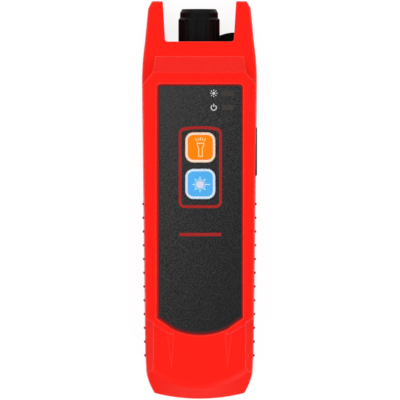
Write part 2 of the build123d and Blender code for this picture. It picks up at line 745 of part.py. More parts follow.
def switch_body(y):
    top = BOARD_TOP + SWITCH_TALL
    half = SWITCH_SIZE / 2
    body = block(FACE_X - half, FACE_X + half, y - half, y + half, BOARD_TOP, top)
    body = chamfer(body.edges().filter_by(Axis.Z), 0.6)
    return body - post(FACE_X, y, BOARD_TOP + SWITCH_FLOOR, top + 1, PLUNGER_R + PLUNGER_GAP)


def plunger(y):
    stem = post(FACE_X, y, PLUNGER_TOP - PLUNGER_LENGTH, PLUNGER_TOP, PLUNGER_R)
    return chamfer(stem.edges().sort_by(Axis.Z)[-1], 0.2)


tact_switches = [switch_body(TORCH_KEY_Y), switch_body(LASER_KEY_Y)]

# Control board with its fixing screws
board = block(-BOARD_HALF_X, BOARD_HALF_X, BOARD_LOW_Y, BOARD_HIGH_Y, BOARD_Z, BOARD_TOP)
board = fillet(board.edges().filter_by(Axis.Z), 1.5)
for x, y in BOARD_POSTS:
    board -= post(x, y, BOARD_Z - 1, BOARD_TOP + 1, BOARD_HOLE_R)
board_screws = []
for x, y in BOARD_POSTS:
    head_z = BOARD_Z - BOARD_HEAD_TALL
    screw = post(x, y, head_z, BOARD_Z, BOARD_HEAD_R)
    screw = fillet(screw.edges().sort_by(Axis.Z)[0], 0.5)
    screw += post(x, y, BOARD_Z, INNER_TOP - 0.3, BOARD_SCREW_R)
    board_screws.append(screw - Pos(x, y, head_z) * Box(0.5, 2.0, 1.0))

# Indicator lights and the clear guide that carries them to the film
light_spots = [(x, DOT_Y) for x in DOTS_X] + list(BARS)
half_x, half_y = LED_HALF
indicator_leds = [
    block(x - half_x, x + half_x, y - half_y, y + half_y, BOARD_TOP, BOARD_TOP + LED_TALL)
    for x, y in light_spots
]
guide_low = INNER_TOP - GUIDE_THICK
light_guide = block(*GUIDE_X, DOT_Y - 1.5, LIGHTS_TOP_Y - 2.2, guide_low, INNER_TOP)
light_guide = fillet(light_guide.edges().filter_by(Axis.Z), 1.0)
guide_top = RECESS_FLOOR - 0.1
for x in DOTS_X:
    light_guide += post(x, DOT_Y, guide_low, guide_top, DOT_R)
for x, y in BARS:
    pipe = Pos(x, y, guide_low) * RectangleRounded(*BAR_SIZE, BAR_CORNER)
    light_guide += extrude(pipe, amount=guide_top - guide_low)

# Controller and the three lead sockets under the board
control_chip = block(
    CHIP_X - CHIP_HALF, CHIP_X + CHIP_HALF,
    CHIP_Y - CHIP_HALF, CHIP_Y + CHIP_HALF,
    BOARD_Z - CHIP_TALL, BOARD_Z,
)
control_chip = chamfer(control_chip.faces().sort_by(Axis.Z)[0].edges(), 0.2)
lead_sockets = []
for y in LEAD_SOCKETS_Y:
    x = LEAD_SOCKET_X
    housing = block(x - 3, x + 2.4, y - 2.2, y + 2.2, BOARD_Z - 2.4, BOARD_Z)
    throat = block(x - 4, x + 1, y - 1.6, y + 1.6, BOARD_Z - 1.9, BOARD_Z - 0.5)
    lead_sockets.append(housing - throat)

# Charging socket: rolled steel with its tongue
deep, wide, tall = SOCKET_SIZE
socket_place = Plane.YZ * Pos(SOCKET_Y, SOCKET_Z, 0)
mouth = socket_place * RectangleRounded(wide, tall, tall / 2 - 0.05)
hollow_wide = wide - 2 * SOCKET_SKIN
hollow_tall = tall - 2 * SOCKET_SKIN
throat = socket_place * RectangleRounded(hollow_wide, hollow_tall, hollow_tall / 2 - 0.1)
socket_back = SOCKET_MOUTH_X - deep
usb_socket = Pos(socket_back, 0, 0) * extrude(mouth, amount=deep)
usb_socket -= Pos(socket_back + 1.2, 0, 0) * extrude(throat, amount=deep)
usb_socket += block(
    socket_back + 0.8, SOCKET_MOUTH_X - 0.9,
    SOCKET_Y - 3.3, SOCKET_Y + 3.3,
    SOCKET_Z - 0.35, SOCKET_Z + 0.35,
)

# Side flap: rubber plate with a plug that fills the opening, and its holding tail
flap_back = FLAP_FLOOR_X + FLAP_SEAT
flap = block(flap_back, FLAP_FACE_X, FLAP_LOW_Y, FLAP_HIGH_Y, flap_z0, flap_z1)
flap = fillet(flap.edges().filter_by(Axis.X), FLAP_CORNER)
flap = fillet(flap.faces().sort_by(Axis.X)[-1].edges(), FLAP_EDGE)
plug = socket_place * RectangleRounded(*PLUG)
port_flap = flap + Pos(SOCKET_MOUTH_X + 0.3, 0, 0) * extrude(plug, amount=PLUG_LONG)
finger = Pos(FLAP_FACE_X + 0.3, FLAP_LOW_Y + 1.9, SOCKET_Z) * Rot(0, 90, 0)
port_flap -= finger * Cylinder(0.9, 1.2)
flap_tail = block(TAIL_END_X + 0.1, flap_back, tail_y0, tail_y1, tail_z0, tail_z1)
flap_tail += block(TAIL_END_X, TAIL_END_X + 1.1, tail_y0 - 0.7, tail_y1 + 0.7, tail_z0, tail_z1)

# Deck across the port end, held between the ribs
deck_form = front_form(WALL + 0.15) + rear_form(WALL + 0.15)
port_deck = deck_form & across(DECK_LOW_Y, DECK_TOP_Y, 0, LENGTH)
deck_low = DECK_LOW_Y - 1
deck_high = DECK_TOP_Y + 1
port_deck -= bar(PORT_X, PORT_Z, deck_low, deck_high, BARREL_R + 0.05)
port_deck -= bar(PORT_X, PORT_Z, DECK_TOP_Y - FLANGE_THICK, deck_high, FLANGE_R + 0.05)
port_deck -= bar(LAMP_X, PORT_Z, deck_low, deck_high, LAMP_R + 0.05)
port_deck -= bar(STRAP_ANCHOR_X, STRAP_Z, deck_low, deck_high, ANCHOR_R + 0.1)

# Metal barrel of the port with a flange and a countersunk mouth, and the nut under the deck
adapter_barrel = turned(
    [
        (SLEEVE_R + SLEEVE_FIT, BARREL_LOW_Y),
        (BARREL_R, BARREL_LOW_Y),
        (BARREL_R, DECK_TOP_Y - FLANGE_THICK),
        (FLANGE_R, DECK_TOP_Y - FLANGE_THICK),
        (FLANGE_R, DECK_TOP_Y),
        (BARREL_R, DECK_TOP_Y),
        (BARREL_R, BARREL_TOP_Y - BARREL_LEAD),
        (BARREL_R - BARREL_LEAD, BARREL_TOP_Y),
        (MOUTH_R, BARREL_TOP_Y),
        (LIP_R, SLEEVE_TOP_Y),
        (SLEEVE_R + SLEEVE_FIT, SLEEVE_TOP_Y),
    ]
)
nut_plan = RegularPolygon(NUT_FLATS / 2, 6, major_radius=False)
barrel_nut = extrude(nut_plan, amount=NUT_THICK) - Cylinder(BARREL_R + SLEEVE_FIT, 4 * NUT_THICK)
barrel_nut = Pos(PORT_X, DECK_LOW_Y, PORT_Z) * Rot(90, 0, 0) * barrel_nut
ferrule_sleeve = turned(
    [
        (SLEEVE_BORE_R, SLEEVE_LOW_Y),
        (SLEEVE_R, SLEEVE_LOW_Y),
        (SLEEVE_R, SLEEVE_TOP_Y),
        (SLEEVE_BORE_R, SLEEVE_TOP_Y),
    ]
)

# Laser module: tube that takes the barrel's tail, with lens and diode inside
tube_nose = SLEEVE_LOW_Y - 0.1
tube_seat = BARREL_LOW_Y - 0.1
laser_tube = turned(
    [
        (BEAM_R, tube_nose),
        (SLEEVE_R - 0.05, tube_nose),
        (SLEEVE_R - 0.05, tube_seat),
        (BARREL_R + 0.05, tube_seat),
        (BARREL_R + 0.05, MODULE_TOP_Y),
        (MODULE_R - 0.4, MODULE_TOP_Y),
        (MODULE_R, MODULE_TOP_Y - 0.4),
        (MODULE_R, MODULE_LOW_Y),
        (TUBE_BORE_R, MODULE_LOW_Y),
        (TUBE_BORE_R, BARREL_LOW_Y - 3.0),
        (BEAM_R, BARREL_LOW_Y - 3.0),
    ]
)
lens_r = TUBE_BORE_R - 0.05
coupling_lens = turned(
    [
        (0, LENS_Y),
        (3.2, LENS_Y),
        (lens_r, LENS_Y + 0.6),
        (lens_r, LENS_Y + 2.6),
        (3.2, LENS_Y + 3.2),
        (0, LENS_Y + 4.4),
    ]
)
diode_r = TUBE_BORE_R - 0.1
laser_diode = turned(
    [
        (0, DIODE_Y),
        (diode_r, DIODE_Y),
        (diode_r, DIODE_Y + 1.5),
        (3.2, DIODE_Y + 1.5),
        (3.2, DIODE_Y + 5.0),
        (0, DIODE_Y + 5.0),
    ]
)
for x, z in ((-1.3, 0), (1.3, 0), (0, 1.3)):
    laser_diode += bar(PORT_X + x, PORT_Z + z, DIODE_Y - PIN_LONG, DIODE_Y + 0.2, 0.25)

# Dust cap: fluted body, narrower neck and bevelled top over the barrel
dust_cap = turned(
    [
        (CAP_BORE_R, CAP_BASE_Y),
        (CAP_SKIRT_R, CAP_BASE_Y),
        (CAP_SKIRT_R, GROOVE_LOW_Y),
        (GROOVE_R, GROOVE_LOW_Y),
        (GROOVE_R, GROOVE_TOP_Y),
        (CAP_R, GROOVE_TOP_Y),
        (CAP_R, CAP_SHOULDER_Y),
        (CAP_NECK_R, CAP_NECK_Y),
        (CAP_NECK_R, CAP_CROWN_Y),
        (CAP_CROWN_R, CAP_TOP_Y),
        (0, CAP_TOP_Y),
        (0, CAP_BORE_TOP_Y),
        (CAP_BORE_R, CAP_BORE_TOP_Y),
    ]
)
dust_cap = fillet(dust_cap.faces().sort_by(Axis.Y)[-1].edges(), CAP_EDGE)
for i in range(FLUTE_COUNT):
    turn = math.radians(FLUTE_START_DEG + i * 360 / FLUTE_COUNT)
    out = CAP_R + FLUTE_R - FLUTE_DEPTH
    x = PORT_X + out * math.sin(turn)
    z = PORT_Z + out * math.cos(turn)
    dust_cap -= bar(x, z, GROOVE_TOP_Y - 1, CAP_NECK_Y, FLUTE_R)

# Cap strap: a ring in the cap's groove, an arm behind the right horn and a barbed anchor
ring_low = GROOVE_LOW_Y + 0.1
ring_top = GROOVE_TOP_Y - 0.2
ring_r = GROOVE_R + 0.1
strap_ring = turned([(ring_r, ring_low), (CAP_R, ring_low), (CAP_R, ring_top), (ring_r, ring_top)])
root_x, root_y = STRAP_ROOT
crest_x, crest_y = STRAP_CREST
side_y = crest_y - 2.2
arm_line = Spline(
    STRAP_ROOT,
    (crest_x - 3.0, crest_y - 0.35),
    STRAP_CREST,
    (crest_x + 2.6, crest_y - 0.5),
    (STRAP_END_X, side_y),
)
arm_line += Polyline(
    (STRAP_END_X, side_y),
    (STRAP_END_X, STRAP_TAIL_Y + 1),
    (STRAP_END_X - 1, STRAP_TAIL_Y),
    (CAP_R, STRAP_TAIL_Y),
    (root_x, ring_top),
    STRAP_ROOT,
)
arm = extrude(Pos(0, 0, STRAP_Z - STRAP_WIDE / 2) * facing_up(make_face(arm_line)), amount=STRAP_WIDE)
arm -= bar(PORT_X, PORT_Z, ring_top, TIP_Y, CAP_R + STRAP_CLEAR)
arm -= bar(PORT_X, PORT_Z, DECK_TOP_Y, ring_top + 0.01, ring_r)
cap_strap = strap_ring + arm
cap_strap += bar(STRAP_ANCHOR_X, STRAP_Z, DECK_LOW_Y - 0.2, STRAP_TAIL_Y + 1, ANCHOR_R)
barb = Cone(ANCHOR_R, BARB_R, BARB_TALL)
barb_y = DECK_LOW_Y - 0.1 - BARB_TALL / 2
cap_strap += Pos(STRAP_ANCHOR_X, barb_y, STRAP_Z) * Rot(-90, 0, 0) * barb

# Torch lamp with its two legs
lamp_low = DECK_LOW_Y - 1.0
torch_lamp = bar(LAMP_X, PORT_Z, lamp_low, DECK_LOW_Y, LAMP_RIM_R)
torch_lamp += bar(LAMP_X, PORT_Z, lamp_low, LAMP_TOP_Y - LAMP_R, LAMP_R)
torch_lamp += Pos(LAMP_X, LAMP_TOP_Y - LAMP_R, PORT_Z) * Sphere(LAMP_R)
for side in (-1, 1):
    leg_z = PORT_Z + side * LAMP_LEG_Z
    torch_lamp += bar(LAMP_X, leg_z, LAMP_LEG_Y, lamp_low + 0.5, LAMP_LEG_R)

# Cell with its end tabs and a foam pad above it
battery_cell = bar(0, CELL_Z, CELL_LOW_Y, CELL_HIGH_Y, CELL_R)
battery_cell = fillet(battery_cell.edges().filter_by(GeomType.CIRCLE), CELL_EDGE)
cell_tabs = []
for y in (CELL_HIGH_Y, CELL_LOW_Y - TAB_THICK):
    cell_tabs.append(block(-3, 3, y, y + TAB_THICK, CELL_Z - 4, CELL_Z + 8))
foam_low, foam_high = FOAM_Y
foam_pad = block(-FOAM_HALF_X, FOAM_HALF_X, foam_low, foam_high, CELL_Z + 5, INNER_TOP)
foam_pad -= bar(0, CELL_Z, foam_low - 1, foam_high + 1, CELL_R + SLEEVE_FIT)


def lead(points, radius=0.55):
    """A round wire through the given points."""
    path = Spline(*points)
    section = Plane(origin=path @ 0, z_dir=path % 0) * Circle(radius)
    return sweep(section, path=path)


def into_socket(row, side):
    """Last two points of a wire that enters a lead socket from the left."""
    y = LEAD_SOCKETS_Y[row] + side * 0.8
    x = LEAD_SOCKET_X - 2.2
    return [(x - 3.2, y, BOARD_Z - 1.9), (x, y, BOARD_Z - 1.25)]


laser_leads = []
torch_leads = []
for side in (-1, 1):
    pin = (PORT_X + side * 1.3, MODULE_LOW_Y - 4.2, PORT_Z)
    aside = (-6.5 + side, MODULE_LOW_Y - 7.5, PORT_Z + 1.5)
    laser_leads.append(lead([pin, aside] + into_socket(1, side)))
    leg = (LAMP_X, LAMP_LEG_Y - 0.3, PORT_Z + side * LAMP_LEG_Z)
    bend = (LAMP_X + 0.5, LAMP_LEG_Y - 8.0, PORT_Z + side * 0.9)
    torch_leads.append(lead([leg, bend] + into_socket(2, -side)))
tab_end = CELL_LOW_Y - 1.1
foot_bend = [
    (-2.0, tab_end, CELL_Z + 5.2),
    (-6.5, tab_end - 0.2, CELL_Z + 5.3),
    (-9.7, CELL_LOW_Y + 0.9, CELL_Z + 5.2),
]
side_step = (CELL_HIGH_Y - CELL_LOW_Y) / 7
cell_side = [(-10.1, CELL_LOW_Y + i * side_step, CELL_Z + 5.1) for i in range(1, 7)]
near_end = [(-2.0, CELL_HIGH_Y + 1.05, CELL_Z + 5.8), (-7.0, CELL_HIGH_Y + 3.7, CELL_Z + 5.8)]
battery_leads = [
    lead(near_end + into_socket(0, -1)),
    lead(foot_bend + cell_side + into_socket(0, 1)),
]

write = {
    "front_shell": front_shell,
    "rear_shell": rear_shell,
    "case_seal": case_seal,
    "case_screws": Compound(case_screws),
    "panel_film": panel_film,
    "red_print": Compound(red_print),
    "torch_key": key(TORCH_KEY_Y),
    "laser_key": key(LASER_KEY_Y),
    "torch_plate": key_plate(TORCH_KEY_Y, PLATE_GAP, 0),
    "laser_plate": key_plate(LASER_KEY_Y, PLATE_GAP, 0),
    "torch_plunger": plunger(TORCH_KEY_Y),
    "laser_plunger": plunger(LASER_KEY_Y),
    "tact_switches": Compound(tact_switches),
    "control_board": board,
    "board_screws": Compound(board_screws),
    "indicator_leds": Compound(indicator_leds),
    "light_guide": light_guide,
    "control_chip": control_chip,
    "lead_sockets": Compound(lead_sockets),
    "usb_socket": usb_socket,
    "port_flap": port_flap,
    "flap_tail": flap_tail,
    "port_deck": port_deck,
    "adapter_barrel": adapter_barrel,
    "barrel_nut": barrel_nut,
    "ferrule_sleeve": ferrule_sleeve,
    "laser_tube": laser_tube,
    "coupling_lens": coupling_lens,
    "laser_diode": laser_diode,
    "dust_cap": dust_cap,
    "cap_strap": cap_strap,
    "torch_lamp": torch_lamp,
    "battery_cell": battery_cell,
    "cell_tabs": Compound(cell_tabs),
    "foam_pad": foam_pad,
    "laser_leads": Compound(laser_leads),
    "torch_leads": Compound(torch_leads),
    "battery_leads": Compound(battery_leads),
}
for name, shape in write.items():
    export_step(shape, f"parts/{name}.step")
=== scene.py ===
import math

import bmesh
import bpy
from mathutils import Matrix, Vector


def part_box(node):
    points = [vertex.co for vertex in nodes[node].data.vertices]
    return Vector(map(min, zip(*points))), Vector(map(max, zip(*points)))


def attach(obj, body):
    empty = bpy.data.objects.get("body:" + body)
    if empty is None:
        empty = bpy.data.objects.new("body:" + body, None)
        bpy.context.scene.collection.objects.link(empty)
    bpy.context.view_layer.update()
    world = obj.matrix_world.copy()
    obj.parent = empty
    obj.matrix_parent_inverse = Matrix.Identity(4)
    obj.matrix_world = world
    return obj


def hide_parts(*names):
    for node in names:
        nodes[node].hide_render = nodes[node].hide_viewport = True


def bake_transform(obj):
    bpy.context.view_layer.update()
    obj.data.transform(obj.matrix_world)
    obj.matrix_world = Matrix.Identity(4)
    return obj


# Looks of the handheld fault light. It lies on its back with its key face up. Sizes in metres.

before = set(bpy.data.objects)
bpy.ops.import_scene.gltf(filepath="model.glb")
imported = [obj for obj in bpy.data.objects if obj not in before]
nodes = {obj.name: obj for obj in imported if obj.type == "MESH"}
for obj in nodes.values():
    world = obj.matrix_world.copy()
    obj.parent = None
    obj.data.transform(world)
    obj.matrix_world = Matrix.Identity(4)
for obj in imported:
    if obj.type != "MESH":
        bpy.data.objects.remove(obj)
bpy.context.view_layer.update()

MM = 0.001

# Camera and light
PHOTO_SPAN = 145.75 * MM
FOCUS_Z = 15 * MM
CAMERA_X = 0.2 * MM
CAMERA_HEIGHT = 6.0
SENSOR = 36.0
SKY_LOW = 0.11
SKY_HIGH = 0.43
SKY_RISE = 0.35
FLOOR_HALF = 3.0
FLOOR_WHITE = 0.22
FLOOR_LIFT = 0.86

# Colours, as linear values
RED = (0.98, 0.0085, 0.0020)
RED_EDGE_GLINT = (0.98, 0.070, 0.055)
RED_RIDGE_SHADE = (0.40, 0.010, 0.009)
SEAM_SHADE_RED = (0.10, 0.002, 0.001)
GAP_SHADE_RED = (0.48, 0.010, 0.008)
RIM_SHADE_RED = (0.085, 0.012, 0.012)
FILM_DARK = (0.0055, 0.0058, 0.0066)
FILM_GREY = (0.040, 0.040, 0.042)
RING_RED = (0.365, 0.016, 0.014)
KEY_ORANGE = (0.98, 0.222, 0.0005)
ORANGE_RIM = (0.95, 0.735, 0.56)
ORANGE_LINE = (0.98, 0.57, 0.20)
KEY_BLUE = (0.085, 0.42, 0.85)
BLUE_RIM = (0.64, 0.79, 0.94)
BLUE_LINE = (0.44, 0.80, 0.96)
BURST_CORE = (0.67, 0.66, 0.80)
MARK_PALE = (0.60, 0.60, 0.60)
LIGHT_WINDOW = (0.046, 0.040, 0.037)
CAP_BLACK = (0.0048, 0.0046, 0.0044)

# Moulded edges: how far light sees them rounded, and how wide the painted highlight line along them is
SHELL_EDGE = 0.3 * MM
KEY_EDGE = 0.2 * MM
EDGE_GLINT_WIDTH = 0.35 * MM

# The seam, and the straight side walls there: half width at mid length, how it grows, the walls' lean
SEAM_Z = 12.5 * MM
SIDE_X = 20.487 * MM
SIDE_SLOPE = 0.01237
SIDE_LEAN = 0.03

# Where the painted shade line along the seam and the painted shade on the ridges begin and end, from the
# seam and from the wall
SEAM_SHADE_SPAN = (0.05 * MM, 0.16 * MM)
RIDGE_SHADE_SPAN = (0.06 * MM, 0.16 * MM)

# Painted sheen on the film, standing in for the key light's reflection: it grows paler along this
# direction, given as change per metre, from this start
FILM_SHEEN_DIRECTION = (-16.5, 6.5, 0)
FILM_SHEEN_START = -0.11
FILM_SPECK = 0.38 * MM

# A wave texture of scale 1 repeats every 0.314 m
WAVE_LENGTH = 0.314
THREAD_PITCH = 0.5 * MM

# Size of the cells that the soft pieces are rebuilt from
STRAP_CELL = 0.18 * MM
WEB_CELL = 0.12 * MM

# Marks on the keys and the film
MARK_LIFT = 0.01 * MM
MARK_THICK = 0.03 * MM
TORCH_LINE = 0.45 * MM
TORCH_DROP = 0.18 * MM
BURST_SHIFT = (-0.09 * MM, -0.2 * MM)
BURST_DISC = 1.4 * MM
RAY_TAPER = 0.75
SIGN_LINE = 0.34 * MM
SIGN_X = 5.2 * MM
SIGN_ROWS = (38.8 * MM, 33.6 * MM)
BAR_HALF_X = 2.2 * MM
BARS = ((10.2 * MM, SIGN_ROWS[0], 0.98 * MM), (10.4 * MM, SIGN_ROWS[1], 0.9 * MM))
DOT_COLUMNS = (-6.1 * MM, -1.7 * MM, 2.75 * MM, 7.3 * MM)
DOT_Y = 28.85 * MM
DOT_RADIUS = 0.55 * MM

# Rays of the burst and parts of the two small signs, in millimetres from the sign's middle
RAY_START = 1.55
LONG_RAY_REACH, LONG_RAY_WIDTH = 2.85, 0.45
SHORT_RAY_REACH, SHORT_RAY_WIDTH = 2.15, 0.34
LONGEST_REACH = 3.66
SUN_DISC = 0.52
SUN_RAY = (0.85, 1.35)
SWITCH_RING = (1.12, 0.78)
SWITCH_STROKE = (0.25, 1.35)

# The label field's outline: straight sides, rounded upper corners and an arc as its foot
FIELD_HALF = 15.45 * MM
FIELD_TOP = 42.0 * MM
FIELD_SIDE_END = -42.9 * MM
FIELD_KNEE = (9.7 * MM, -46.9 * MM)
FIELD_LOW = -49.0 * MM
FIELD_CORNER = 1.2 * MM
RECESS_X = 0.11 * MM
FILM_X = 0.30 * MM
BORDER_FOOT = 0.5 * MM
BORDER_TURN_Y = -40 * MM

# How far inside the outline each edge of the painted shade ring in the gap and of the painted shade band
# lies
BED_OUTER_LOW = 0.02 * MM
BED_OUTER_HIGH = -0.17 * MM
BED_INNER = 0.23 * MM
BED_CLEAR = 0.01 * MM
BORDER_OUTER = 0.26 * MM
BORDER_INNER = 0.60 * MM


# Node materials

RANGE_SOCKETS = ("From Min", "From Max", "To Min", "To Max")


class Look:
    """A node material with its textures in object coordinates, which are the frame's own metres."""

    def __init__(self, name, colour, rough, metallic=0.0, specular=0.5):
        self.material = bpy.data.materials.new(name)
        self.material.use_nodes = True
        self.tree = self.material.node_tree
        self.shader = self.tree.nodes["Principled BSDF"]
        self.colour = colour
        self.set("Base Color", (*colour, 1))
        self.set("Roughness", rough)
        self.set("Metallic", metallic)
        self.set("Specular IOR Level", specular)
        self.place = self.add("ShaderNodeTexCoord").outputs["Object"]
        self.last_bump = None

    def add(self, kind, **settings):
        node = self.tree.nodes.new(kind)
        for key, value in settings.items():
            setattr(node, key, value)
        return node

    def set(self, socket, value):
        self.shader.inputs[socket].default_value = value

    def link(self, source, target):
        self.tree.links.new(source, target)

    def math(self, operation, first, second=0.0):
        node = self.add("ShaderNodeMath", operation=operation)
        for socket, value in zip(node.inputs, (first, second)):
            if isinstance(value, (int, float)):
                socket.default_value = value
            else:
                self.link(value, socket)
        return node.outputs[0]

    def noise(self, size, detail=2.0, stretch=(1, 1, 1)):
        """Noise with features about size across, drawn out along an axis where stretch is small."""
        mapping = self.add("ShaderNodeMapping")
        mapping.inputs["Scale"].default_value = stretch
        self.link(self.place, mapping.inputs["Vector"])
        noise = self.add("ShaderNodeTexNoise")
        noise.inputs["Scale"].default_value = 1 / size
        noise.inputs["Detail"].default_value = detail
        self.link(mapping.outputs["Vector"], noise.inputs["Vector"])
        return noise.outputs["Fac"]

    def spread(self, value, low, high, to_low=0.0, to_high=1.0):
        node = self.add("ShaderNodeMapRange")
        for socket, number in zip(RANGE_SOCKETS, (low, high, to_low, to_high)):
            node.inputs[socket].default_value = number
        self.link(value, node.inputs["Value"])
        return node.outputs["Result"]

    def mix(self, factor, first, second):
        node = self.add("ShaderNodeMix", data_type="RGBA")
        self.link(factor, node.inputs["Factor"])
        for socket, colour in zip((node.inputs[6], node.inputs[7]), (first, second)):
            if isinstance(colour, tuple):
                socket.default_value = (*colour, 1)
            else:
                self.link(colour, socket)
        return node.outputs[2]

    def paint(self, colour):
        self.link(colour, self.shader.inputs["Base Color"])

    def drift(self, size, amount):
        """Slow change of tone over the surface."""
        darker = tuple(c * (1 - amount) for c in self.colour)
        lighter = tuple(min(1.0, c * (1 + amount)) for c in self.colour)
        self.paint(self.mix(self.spread(self.noise(size, 3.0), 0.3, 0.7), darker, lighter))

    def vary_rough(self, size, low, high):
        self.link(self.spread(self.noise(size), 0.3, 0.7, low, high), self.shader.inputs["Roughness"])

    def soften(self, radius):
        """Light catches sharp edges as if they were rounded."""
        node = self.add("ShaderNodeBevel", samples=4)
        node.inputs["Radius"].default_value = radius
        self.last_bump = node.outputs["Normal"]
        self.link(self.last_bump, self.shader.inputs["Normal"])

    def edges(self, radius, low, high):
        """Nought on smooth ground, one along sharp edges."""
        rounded = self.add("ShaderNodeBevel", samples=6)
        rounded.inputs["Radius"].default_value = radius
        across = self.add("ShaderNodeVectorMath", operation="DOT_PRODUCT")
        self.link(rounded.outputs["Normal"], across.inputs[0])
        self.link(self.add("ShaderNodeNewGeometry").outputs["Normal"], across.inputs[1])
        return self.spread(self.math("SUBTRACT", 1.0, across.outputs["Value"]), low, high)

    def bump(self, height, depth):
        node = self.add("ShaderNodeBump")
        node.inputs["Distance"].default_value = depth
        self.link(height, node.inputs["Height"])
        if self.last_bump is not None:
            self.link(self.last_bump, node.inputs["Normal"])
        self.last_bump = node.outputs["Normal"]
        self.link(self.last_bump, self.shader.inputs["Normal"])

    def along(self, direction):
        """Distance along a direction, in metres."""
        dot = self.add("ShaderNodeVectorMath", operation="DOT_PRODUCT")
        self.link(self.place, dot.inputs[0])
        dot.inputs[1].default_value = direction
        return dot.outputs["Value"]


def moulded(name, colour, rough, grain=0.25 * MM, depth=0.006 * MM, drift=0.05, specular=0.5, edge=0):
    """Moulded plastic or rubber: a fine spark-eroded grain, slow tone drift and uneven gloss."""
    look = Look(name, colour, rough, specular=specular)
    if edge:
        look.soften(edge)
    look.drift(14 * MM, drift)
    look.vary_rough(1.5 * MM, rough - 0.05, rough + 0.06)
    look.bump(look.noise(grain, 3.0), depth)
    return look


def metal(name, colour, rough, stretch=(1, 1, 1), depth=0.004 * MM):
    """Turned or drawn metal: fine lines along the tool's path and slight dulling."""
    look = Look(name, colour, rough, metallic=1.0)
    look.drift(3 * MM, 0.08)
    look.vary_rough(0.8 * MM, rough - 0.06, rough + 0.08)
    look.bump(look.noise(0.12 * MM, 2.0, stretch), depth)
    return look


def clear(name, colour, rough, transmission):
    look = Look(name, colour, rough)
    look.set("Transmission Weight", transmission)
    look.vary_rough(1.2 * MM, rough, rough + 0.08)
    look.bump(look.noise(0.9 * MM), 0.004 * MM)
    return look


def printed(name, colour, rough=0.5):
    """Screen print: a slightly mottled ink coat."""
    look = Look(name, colour, rough, specular=0.15)
    look.drift(0.8 * MM, 0.08)
    look.bump(look.noise(0.15 * MM), 0.003 * MM)
    return look


def shell(name):
    """Satin red moulding with a painted highlight along its sharp edges, painted shade on the grip
    ridges and a painted shade line along the seam.
    """
    look = moulded(
        name, RED, 0.38, grain=0.35 * MM, depth=0.005 * MM, drift=0.015, specular=0.18, edge=SHELL_EDGE
    )
    body = look.shader.inputs["Base Color"].links[0].from_socket
    # Painted highlight: the red turns paler along sharp edges, where the lamps glint.
    body = look.mix(look.edges(EDGE_GLINT_WIDTH, low=0.001, high=0.02), body, RED_EDGE_GLINT)
    away = look.math("ABSOLUTE", look.math("SUBTRACT", look.along((0, 0, 1)), SEAM_Z))
    half_width = look.math("ABSOLUTE", look.along((1, 0, 0)))
    out = look.math("SUBTRACT", half_width, look.along((0, SIDE_SLOPE, 0)))
    out = look.math("ADD", out, look.math("MULTIPLY", away, SIDE_LEAN))
    # Painted shade: the grip ridges, where they stand out past the side wall, are darker red.
    ridge_shade = look.spread(out, SIDE_X + RIDGE_SHADE_SPAN[0], SIDE_X + RIDGE_SHADE_SPAN[1])
    body = look.mix(ridge_shade, body, RED_RIDGE_SHADE)
    # Painted shade of the gap along the seam: a dark line, also sunk a little as a bump.
    seam = look.spread(away, *SEAM_SHADE_SPAN)
    look.paint(look.mix(seam, SEAM_SHADE_RED, body))
    look.bump(seam, 0.1 * MM)
    return look


red = shell("moulded_red")

film = Look("film", FILM_DARK, 0.55, specular=0.22)
speck = film.spread(film.noise(FILM_SPECK, 2.0), 0.40, 0.60)
# Painted sheen: the film is painted paler towards the upper left, where the key light's reflection
# falls.
sheen_tone = film.math("ADD", film.along(FILM_SHEEN_DIRECTION), FILM_SHEEN_START)
film.paint(film.mix(film.math("ADD", speck, sheen_tone), FILM_DARK, FILM_GREY))
film.vary_rough(0.8 * MM, 0.48, 0.62)
film.bump(film.noise(0.45 * MM, 3.0), 0.03 * MM)

board = Look("board", (0.012, 0.105, 0.035), 0.4)
tracks = board.spread(board.noise(1.1 * MM, 0.0, (1, 0.25, 1)), 0.52, 0.56)
board.paint(board.mix(tracks, (0.010, 0.085, 0.028), (0.022, 0.16, 0.055)))
board.bump(tracks, 0.02 * MM)

rubber = moulded(
    "cap_rubber", CAP_BLACK, 0.42, grain=0.2 * MM, depth=0.008 * MM, drift=0.15, specular=0.10
)

barrel = metal("barrel_nickel", (0.66, 0.64, 0.6), 0.26, (0.2, 3, 0.2), depth=0.001 * MM)
thread = barrel.add("ShaderNodeTexWave", bands_direction="Y", wave_profile="TRI")
thread.inputs["Scale"].default_value = WAVE_LENGTH / THREAD_PITCH
barrel.link(barrel.place, thread.inputs["Vector"])
barrel.bump(thread.outputs["Fac"], 0.06 * MM)

